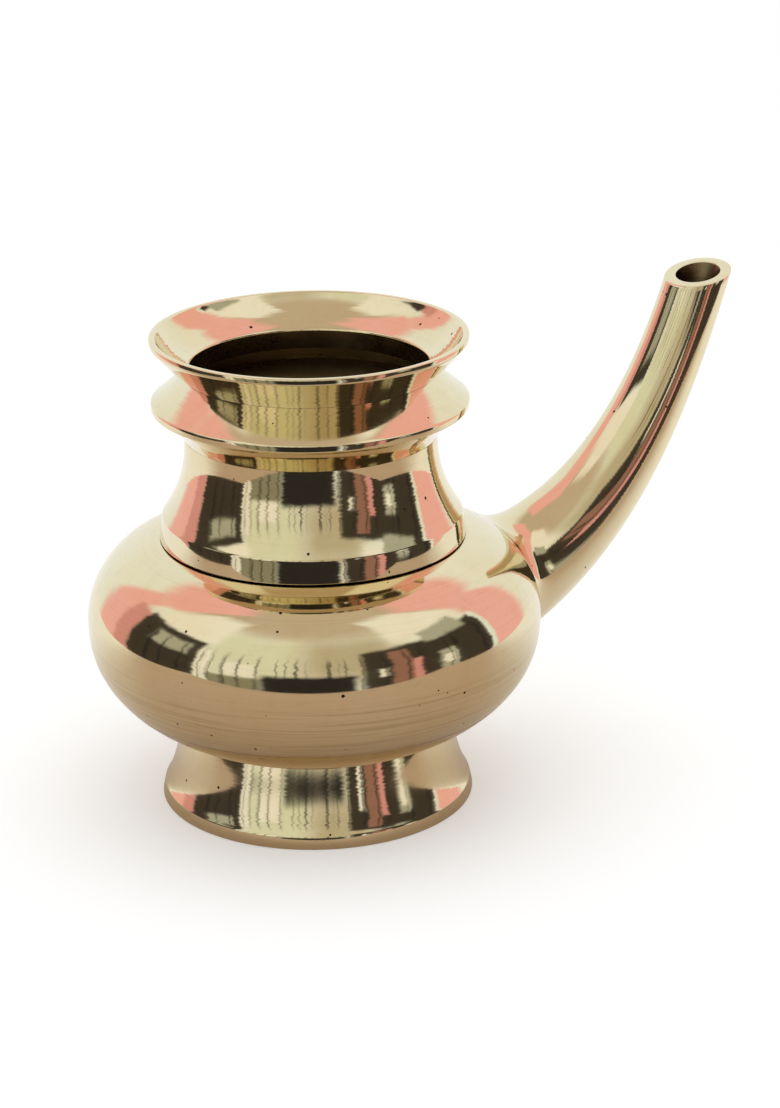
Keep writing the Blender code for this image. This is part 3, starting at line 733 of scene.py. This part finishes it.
def make_rim(materials):
    """Flared mouth rim with the funnel inside."""
    foot = RIM_FOOT_HEIGHT + SEAM_GAP
    lap_foot = RIM_FOOT_HEIGHT - LAP_HEIGHT
    lap_outer = LAP_RADIUS - JOINT_GAP
    edge = (RIM_RADIUS, RIM_EDGE_HEIGHT)
    outside = bowed((NECK_WAIST_RADIUS, foot), edge, RIM_BULGE, CURVE_STEPS)
    crown = (RIM_RADIUS, RIM_TOP_HEIGHT)
    lip = (RIM_RADIUS - RIM_EDGE_WIDTH, RIM_TOP_HEIGHT)
    throat = (THROAT_RADIUS, RIM_TOP_HEIGHT - FUNNEL_DEPTH)
    funnel = bowed(lip, throat, FUNNEL_BULGE, CURVE_STEPS)
    throat_foot = (THROAT_RADIUS, lap_foot)
    outer = outside[:-2]
    outer += rounded(outside[-2], edge, crown, RIM_EDGE_EASE)
    outer += rounded(edge, crown, lip, RIM_CROWN_EASE)
    outer += rounded(crown, lip, funnel[1], RIM_LIP_EASE)
    outer += funnel[2:-1]
    outer += rounded(funnel[-2], throat, throat_foot, THROAT_EASE)
    inner = [throat_foot, (lap_outer, lap_foot), (lap_outer, foot)]
    return turned("rim", outer, inner, materials, "mouth_rim")


def side_angles():
    """Angles of the lines that run along the spout."""
    return [2 * math.pi * side / SPOUT_SIDES for side in range(SPOUT_SIDES)]


def tip_ring(radius_function, back=0.0):
    """Edge of the tip on the slanted cut, or a little way back from it."""
    ring = []
    for angle in side_angles():
        t = tip_value(angle, radius_function) - back
        ring.append(around_spout(t, angle, radius_function(t)))
    return ring


def root_rings():
    """Rings from the fillet's edge on the body to its end on the horn."""
    half = SPOUT_SIDES // 2
    columns = []
    for side in range(half + 1):
        angle = math.pi * side / half
        start = fillet_edge(angle, blend_out(angle), 0.0)
        values = np.linspace(start, fillet_end(angle), ROOT_STATIONS + 1)
        columns.append([around_spout(t, angle, horn_radius(t, angle)) for t in values])
    for column in columns[-2:0:-1]:
        columns.append([Vector((point.x, -point.y, point.z)) for point in column])
    return [list(ring) for ring in zip(*columns)]


def make_spout(materials):
    """Tapered horn with its blended root, bore, spigot and filed tip."""
    angles = side_angles()
    tips = [tip_value(angle, spout_radius) for angle in angles]
    ends = [root_length(angle, SPIGOT_RADIUS, BODY_LINING, -SPIGOT_REACH) for angle in angles]
    rings = []
    for share in np.linspace(0.0, 1.0, SEAT_RINGS + 1)[:-1]:
        ring = []
        for angle in angles:
            radius = SPIGOT_RADIUS + (SPOUT_ROOT_RADIUS + blend_out(angle) - SPIGOT_RADIUS) * share
            ring.append(around_root(root_length(angle, radius, BODY_OUTLINE, BLEND_GAP), angle, radius))
        rings.append(ring)
    rings += root_rings()
    for share in np.linspace(0.0, 1.0, HORN_STATIONS)[1:]:
        ring = []
        for tip, angle in zip(tips, angles):
            start = fillet_end(angle)
            t = start + (tip - TIP_BACK - start) * float(share)
            ring.append(around_spout(t, angle, spout_radius(t)))
        rings.append(ring)
    edge = TIP_EDGE / TIP_EASE_SHARE
    back = TIP_BACK / TIP_EASE_SHARE
    rings.append(tip_ring(lambda t: spout_radius(t) - edge, back))
    rings.append(tip_ring(lambda t: spout_radius(t) - TIP_EDGE))
    rings.append(tip_ring(lambda t: bore_radius(t) + TIP_EDGE))
    rings.append(tip_ring(lambda t: bore_radius(t) + edge, back))
    outer_rows = len(rings)
    inner_tips = [tip_value(angle, bore_radius) for angle in angles]
    for share in np.linspace(1.0, 0.0, BORE_STATIONS):
        ring = []
        for tip, angle in zip(inner_tips, angles):
            t = (tip - TIP_BACK) * share
            ring.append(around_spout(t, angle, bore_radius(t)))
        rings.append(ring)
    rings.append([around_root(length, angle, SPOUT_ROOT_BORE) for length, angle in zip(ends, angles)])
    rings.append([around_root(length, angle, SPIGOT_RADIUS) for length, angle in zip(ends, angles)])
    middles = [np.mean([np.array(point) for point in ring], axis=0) for ring in rings]
    steps = [np.linalg.norm(high - low) for low, high in zip(middles, middles[1:])]
    lengths = np.concatenate(([0.0], np.cumsum(steps)))
    builder = bmesh.new()
    skin(builder, rings, lengths, hollow=True, outer_rows=outer_rows)
    return add_piece("spout_horn", builder, materials, ["spout"])


# Shader helpers

class Shader:
    """A node tree with short calls for the nodes that the finishes use."""

    def __init__(self, owner):
        owner.use_nodes = True
        self.tree = owner.node_tree

    def add(self, kind, **settings):
        """A node with its settings."""
        made = self.tree.nodes.new(kind)
        for key, value in settings.items():
            setattr(made, key, value)
        return made

    def put(self, socket, value):
        """Set a socket, or link another node's socket to it."""
        if isinstance(value, bpy.types.NodeSocket):
            self.tree.links.new(value, socket)
        else:
            socket.default_value = value

    def math(self, operation, *values):
        """Result of a sum on numbers or sockets."""
        made = self.add("ShaderNodeMath", operation=operation)
        for socket, value in zip(made.inputs, values):
            self.put(socket, value)
        return made.outputs[0]

    def span(self, value, low, high, start=0.0, end=1.0):
        """A smooth step from start to end as the value goes from low to high."""
        made = self.add("ShaderNodeMapRange", interpolation_type="SMOOTHSTEP")
        for key, number in zip(("Value", "From Min", "From Max", "To Min", "To Max"),
                               (value, low, high, start, end)):
            self.put(made.inputs[key], number)
        return made.outputs[0]

    def noise(self, vector, scale, detail=2.0, roughness=0.5):
        """Noise between 0 and 1."""
        made = self.add("ShaderNodeTexNoise")
        self.put(made.inputs["Vector"], vector)
        made.inputs["Scale"].default_value = scale
        made.inputs["Detail"].default_value = detail
        made.inputs["Roughness"].default_value = roughness
        return made.outputs["Fac"]

    def blend(self, share, first, second):
        """Colour between two colours."""
        made = self.add("ShaderNodeMix", data_type="RGBA")
        self.put(made.inputs["Factor"], share)
        self.put(made.inputs["A"], first if isinstance(first, bpy.types.NodeSocket) else (*first, 1.0))
        self.put(made.inputs["B"], second if isinstance(second, bpy.types.NodeSocket) else (*second, 1.0))
        return made.outputs["Result"]

    def vector(self, x, y, z):
        """Vector from three numbers or sockets."""
        made = self.add("ShaderNodeCombineXYZ")
        for socket, value in zip(made.inputs, (x, y, z)):
            self.put(socket, value)
        return made.outputs[0]

    def parts(self, vector):
        """The three numbers of a vector."""
        made = self.add("ShaderNodeSeparateXYZ")
        self.put(made.inputs[0], vector)
        return made.outputs


# Materials

def lathe_lines(shader, per_metre, around):
    """Noise drawn out round the axis: fine rings, one behind the other along the section."""
    place = shader.add("ShaderNodeTexCoord")
    x, y, _ = shader.parts(place.outputs["Object"])
    length = shader.parts(place.outputs["UV"])[1]
    drawn = shader.vector(shader.math("MULTIPLY", x, around), shader.math("MULTIPLY", y, around),
                          shader.math("MULTIPLY", length, per_metre))
    return shader.noise(drawn, 1.0, detail=3.0)


def draw_lines(shader, per_metre, around):
    """Noise drawn out along the horn: streaks that run from root to tip."""
    place = shader.add("ShaderNodeTexCoord")
    turn, length, _ = shader.parts(place.outputs["UV"])
    angle = shader.math("MULTIPLY", turn, 2 * math.pi)
    drawn = shader.vector(
        shader.math("MULTIPLY", shader.math("COSINE", angle), around),
        shader.math("MULTIPLY", shader.math("SINE", angle), around),
        shader.math("MULTIPLY", length, per_metre))
    return shader.noise(drawn, 1.0, detail=3.0)


def pits(shader, cell, share, size):
    """Small casting pits: 1 inside a pit, 0 elsewhere."""
    place = shader.add("ShaderNodeTexCoord").outputs["Object"]
    cells = shader.add("ShaderNodeTexVoronoi")
    shader.put(cells.inputs["Vector"], place)
    cells.inputs["Scale"].default_value = 1 / cell
    chance = shader.parts(cells.outputs["Color"])
    kept = shader.math("LESS_THAN", chance[0], share)
    grain = shader.noise(place, PIT_GRAIN)
    ragged = shader.math("MULTIPLY_ADD", grain, PIT_RAGGED, cells.outputs["Distance"])
    reach = shader.math("MULTIPLY_ADD", chance[1], size / cell, PIT_LEAST)
    inside = shader.math("LESS_THAN", ragged, reach)
    return shader.math("MULTIPLY", kept, inside)


def chatter(shader, share):
    """Normals that sway round the axis from one lathe line to the next."""
    length = shader.parts(shader.add("ShaderNodeTexCoord").outputs["UV"])[1]
    place = shader.vector(0.0, 0.0, shader.math("MULTIPLY", length, CHATTER_LINES))
    line = shader.noise(place, 1.0, detail=2.0)
    sway = shader.math("MULTIPLY_ADD", line, share, 0.5 - share / 2)
    colour = shader.add("ShaderNodeCombineColor")
    shader.put(colour.inputs["Red"], sway)
    colour.inputs["Green"].default_value = 0.5
    colour.inputs["Blue"].default_value = 1.0
    normal = shader.add("ShaderNodeNormalMap", uv_map="finish")
    shader.put(normal.inputs["Color"], colour.outputs[0])
    return normal.outputs[0]


def brass(name, finish):
    """Brass with colour drift, polishing lines, faint dents, smudges and casting pits."""
    material = bpy.data.materials.new(name)
    shader = Shader(material)
    metal = shader.tree.nodes["Principled BSDF"]
    metal.inputs["Metallic"].default_value = 1.0
    place = shader.add("ShaderNodeTexCoord").outputs["Object"]
    draw, *spacing = finish["lines"]
    lines = draw(shader, *spacing)
    drift = shader.noise(place, DRIFT_SCALE, detail=3.0)
    mottle = shader.noise(place, MOTTLE_SCALE, detail=4.0, roughness=0.65)
    tone = shader.blend(shader.span(drift, *DRIFT_SPAN), finish["colour"], finish["warm"])
    dusk = [finish["dusk"] * part for part in finish["warm"]]
    worn = shader.blend(shader.span(mottle, *MOTTLE_SPAN, 0.0, MOTTLE_SHARE), tone, dusk)
    worn = shader.blend(shader.span(lines, *STREAK_SPAN, 0.0, finish["streaks"]), worn, dusk)
    height = shader.math("MULTIPLY", lines, finish["line_height"])
    low, high = finish["roughness"]
    smudge = shader.noise(place, SMUDGE_SCALE, detail=5.0, roughness=0.7)
    roughness = shader.span(smudge, *SMUDGE_SPAN, low, high)
    if "satin_below" in finish:
        top, satin = finish["satin_below"]
        below = shader.span(shader.parts(place)[2], top - SATIN_FADE, top, 1.0, 0.0)
        brushed = lathe_lines(shader, *SATIN_LINES)
        scratched = shader.span(brushed, *SCRATCH_SPAN, 0.0, SATIN_FINISH["streaks"])
        rubbed = [SATIN_FINISH["dusk"] * part for part in SATIN_FINISH["warm"]]
        worn = shader.blend(shader.math("MULTIPLY", scratched, below), worn, rubbed)
        roughness = shader.math("MULTIPLY_ADD", below, satin, roughness)
        raised = shader.math("MULTIPLY", below, SATIN_FINISH["line_height"])
        height = shader.math("MULTIPLY_ADD", brushed, raised, height)
    hole = pits(shader, PIT_CELL, finish["pits"], PIT_SIZE)
    shader.put(metal.inputs["Base Color"], shader.blend(hole, worn, PIT_COLOUR))
    shader.put(metal.inputs["Roughness"], shader.math("MULTIPLY_ADD", hole, PIT_ROUGHNESS, roughness))
    dents = shader.noise(place, DENT_SCALE, detail=1.0)
    height = shader.math("MULTIPLY_ADD", dents, finish["dents"], height)
    height = shader.math("MULTIPLY_ADD", hole, -PIT_DEPTH, height)
    bump = shader.add("ShaderNodeBump")
    shader.put(bump.inputs["Height"], height)
    if "chatter" in finish:
        shader.put(bump.inputs["Normal"], chatter(shader, finish["chatter"]))
    shader.put(metal.inputs["Normal"], bump.outputs[0])
    return material


MIRROR_FINISH = {
    "colour": (0.80, 0.71, 0.48), "warm": (0.79, 0.67, 0.42), "dusk": 0.85, "streaks": 0.15,
    "roughness": (0.045, 0.10), "lines": (lathe_lines, 1400.0, 14.0),
    "line_height": 1.2e-6, "dents": 18e-6, "pits": 0.10, "chatter": 0.035,
}
BELLY_FINISH = {**MIRROR_FINISH, "satin_below": (BELLY_HEIGHT, 0.12), "streaks": 0.3, "chatter": 0.012}
HORN_FINISH = {**MIRROR_FINISH, "lines": (draw_lines, 25.0, 14.0), "line_height": 2.5e-6, "dents": 40e-6}
SATIN_FINISH = {
    "colour": (0.78, 0.68, 0.46), "warm": (0.75, 0.62, 0.39), "dusk": 0.70, "streaks": 0.6,
    "roughness": (0.16, 0.24), "lines": (lathe_lines, *SATIN_LINES),
    "line_height": 5e-6, "dents": 15e-6, "pits": 0.22,
}
# Inside faces of every piece: rough brass whose very dark brown colour is painted shade, the dark that
# the throat, bore and foot's inside show
INSIDE_PAINTED_SHADE_FINISH = {
    "colour": (0.26, 0.19, 0.10), "warm": (0.17, 0.115, 0.06), "dusk": 0.6, "streaks": 0.5,
    "roughness": (0.25, 0.45), "lines": (lathe_lines, 900.0, 14.0),
    "line_height": 4e-6, "dents": 30e-6, "pits": 0.10,
}
FILLER_FINISH = {
    "colour": (0.52, 0.40, 0.20), "warm": (0.42, 0.31, 0.16), "dusk": 0.6, "streaks": 0.5,
    "roughness": (0.35, 0.55), "lines": (lathe_lines, 300.0, 150.0),
    "line_height": 30e-6, "dents": 60e-6, "pits": 0.10,
}

# Stage, light and camera

def studio_panel(shader, below, directions, span_round, span_high, softness, colour):
    """Lay one soft-edged panel over what lies behind it."""
    edge = math.radians(softness)
    mask = None
    for direction, (low, high) in zip(directions, (span_round, span_high)):
        low = math.radians(low)
        high = math.radians(high)
        rise = shader.span(direction, low - edge, low + edge)
        fall = shader.span(direction, high - edge, high + edge, 1.0, 0.0)
        both = shader.math("MULTIPLY", rise, fall)
        mask = both if mask is None else shader.math("MULTIPLY", mask, both)
    return shader.blend(mask, below, colour)


def make_world():
    """White studio; the metal mirrors warm side flags, a dark front and bright openings."""
    world = bpy.data.worlds.new("studio")
    bpy.context.scene.world = world
    world.cycles.sampling_method = "NONE"
    shader = Shader(world)
    way = shader.add("ShaderNodeTexCoord").outputs["Generated"]
    swung = shader.add("ShaderNodeVectorRotate", rotation_type="Z_AXIS")
    shader.put(swung.inputs["Vector"], way)
    swung.inputs["Angle"].default_value = CAMERA_TURN
    x, y, z = shader.parts(swung.outputs[0])
    uneven = shader.noise(way, SWAY_SCALE, detail=3.0)
    sway = shader.math("MULTIPLY_ADD", uneven, SWAY, -SWAY / 2)
    turn = shader.math("ADD", shader.math("ARCTAN2", x, shader.math("MULTIPLY", y, -1.0)), sway)
    rise = shader.math("ADD", shader.math("ARCSINE", z), sway)
    mirrored = shader.blend(shader.noise(way, PAPER_SCALE), WHITE, PAPER)
    for span_round, span_high, softness, colour in STUDIO:
        mirrored = studio_panel(shader, mirrored, (turn, rise), span_round, span_high, softness, colour)
    stripes = shader.noise(shader.vector(turn, 0.0, 0.0), STRIPES, detail=3.0, roughness=0.6)
    low_front = shader.span(rise, math.radians(STRIPE_TOP), math.radians(STRIPE_TOP - STRIPE_FADE))
    inside = shader.math("MULTIPLY", shader.span(turn, *[math.radians(limit) for limit in STRIPE_LEFT]),
                         shader.span(turn, *[math.radians(limit) for limit in STRIPE_RIGHT]))
    share = shader.math("MULTIPLY", shader.span(stripes, *STRIPE_SPAN),
                        shader.math("MULTIPLY", inside, low_front))
    mirrored = shader.blend(shader.math("MULTIPLY", share, STRIPE_SHARE), mirrored, NIGHT)
    path = shader.add("ShaderNodeLightPath")
    seen = shader.blend(path.outputs["Is Glossy Ray"], WHITE, mirrored)
    shader.put(shader.tree.nodes["Background"].inputs["Color"], seen)


def make_floor():
    """Plain pale table top: white to the eye, with a warm tone in the metal."""
    builder = bmesh.new()
    corners = [(-FLOOR_SIDE, -FLOOR_FRONT), (FLOOR_SIDE, -FLOOR_FRONT),
               (FLOOR_SIDE, FLOOR_BACK), (-FLOOR_SIDE, FLOOR_BACK)]
    builder.faces.new([builder.verts.new((x, y, 0.0)) for x, y in corners])
    mesh = bpy.data.meshes.new("floor")
    builder.to_mesh(mesh)
    builder.free()
    floor = bpy.data.objects.new("floor", mesh)
    floor.location = AXIS
    floor.rotation_euler.z = -CAMERA_TURN
    material = bpy.data.materials.new("pale_floor")
    shader = Shader(material)
    surface = shader.tree.nodes["Principled BSDF"]
    surface.inputs["Roughness"].default_value = 1.0
    surface.inputs["Specular IOR Level"].default_value = 0.0
    place = shader.add("ShaderNodeTexCoord").outputs["Object"]
    depth = shader.parts(place)[1]
    warm = shader.blend(shader.span(depth, *WARM_DEPTH), FLOOR_WARM, WHITE)
    path = shader.add("ShaderNodeLightPath")
    shader.put(surface.inputs["Base Color"], shader.blend(path.outputs["Is Glossy Ray"], WHITE, warm))
    surface.inputs["Emission Color"].default_value = (*WHITE, 1.0)
    shader.put(surface.inputs["Emission Strength"],
               shader.math("MULTIPLY", path.outputs["Is Camera Ray"], FLOOR_GLOW))
    mesh.materials.append(material)
    bpy.context.scene.collection.objects.link(floor)


def make_camera():
    """Camera at the photograph's angle, with the vessel's axis at its pixel."""
    swing = Matrix.Rotation(-CAMERA_TURN, 3, "Z")
    forward = swing @ Vector((0.0, math.cos(CAMERA_ELEVATION), -math.sin(CAMERA_ELEVATION)))
    right = swing @ Vector((1.0, 0.0, 0.0))
    level = Matrix((right, forward.cross(right), forward))
    roll = Matrix.Rotation(CAMERA_ROLL, 3, "Z")
    aim = Vector(((AIM_PIXEL[0] - IMAGE_MIDDLE[0]) / FOCAL_PIXELS,
                  (AIM_PIXEL[1] - IMAGE_MIDDLE[1]) / FOCAL_PIXELS, 1.0))
    turn = Vector((0.0, 0.0, 1.0)).rotation_difference(aim).to_matrix()
    rows = turn @ roll @ level
    camera = bpy.data.cameras.new("camera")
    camera.sensor_width = SENSOR
    camera.lens = FOCAL_PIXELS * SENSOR / IMAGE_HEIGHT
    holder = bpy.data.objects.new("camera", camera)
    pose = Matrix((rows[0], -rows[1], -rows[2])).transposed().to_4x4()
    pose.translation = AXIS + Vector((0.0, 0.0, AIM_HEIGHT)) - CAMERA_DISTANCE * forward
    holder.matrix_world = pose
    bpy.context.scene.collection.objects.link(holder)
    bpy.context.scene.camera = holder


bpy.context.scene.view_settings.view_transform = "Standard"
POLISHED = brass("polished_brass", MIRROR_FINISH)
BODY_BRASS = brass("belly_brass", BELLY_FINISH)
DRAWN = brass("drawn_brass", HORN_FINISH)
SATIN = brass("satin_brass", SATIN_FINISH)
# The inside faces' very dark colour is painted shade
INSIDE_PAINTED_SHADE = brass("inside_painted_shade", INSIDE_PAINTED_SHADE_FINISH)
FILLER = brass("braze_filler", FILLER_FINISH)
make_foot([POLISHED, INSIDE_PAINTED_SHADE])
make_bowl([SATIN, INSIDE_PAINTED_SHADE])
make_body([BODY_BRASS, INSIDE_PAINTED_SHADE])
make_neck([POLISHED, INSIDE_PAINTED_SHADE])
make_flange([POLISHED, INSIDE_PAINTED_SHADE])
make_rim([POLISHED, INSIDE_PAINTED_SHADE])
make_spout([DRAWN, INSIDE_PAINTED_SHADE])
for filler in ("belly_seam_braze", "neck_seam_braze", "foot_seam_braze", "spout_seam_braze"):
    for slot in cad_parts[filler].material_slots:
        slot.material = FILLER
make_floor()
make_world()
make_camera()
